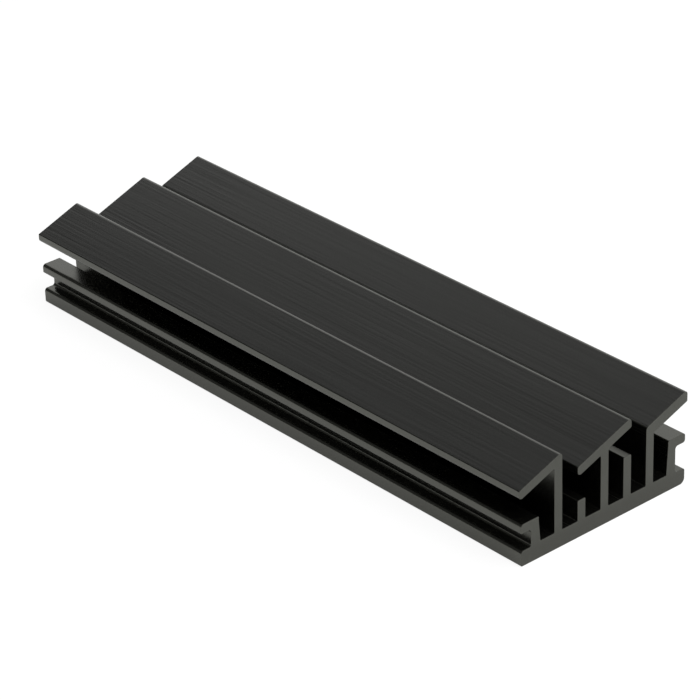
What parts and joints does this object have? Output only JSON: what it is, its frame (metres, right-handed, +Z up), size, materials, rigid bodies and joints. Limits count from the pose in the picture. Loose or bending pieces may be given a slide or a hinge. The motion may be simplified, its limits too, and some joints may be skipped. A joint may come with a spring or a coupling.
{
  "type": "solid-state drive heat sink",
  "caption": "Long extruded aluminium heat sink with a flat base, upright walls under slanted blades, and a clip groove along each side.",
  "frame": {"origin": "centre of the flat underside, halfway along the bar", "axes": "+X along the bar, -Y towards the side with the lower groove flange, which is the long side that the picture shows, +Z up from the underside towards the blades"},
  "size_m": [0.073, 0.022, 0.01],
  "materials": {
    "anodised_aluminium": "black anodised, satin, fine brushing along the blades"
  },
  "bodies": {
    "root": {"heat_sink": "anodised_aluminium"}
  },
  "joints": []
}
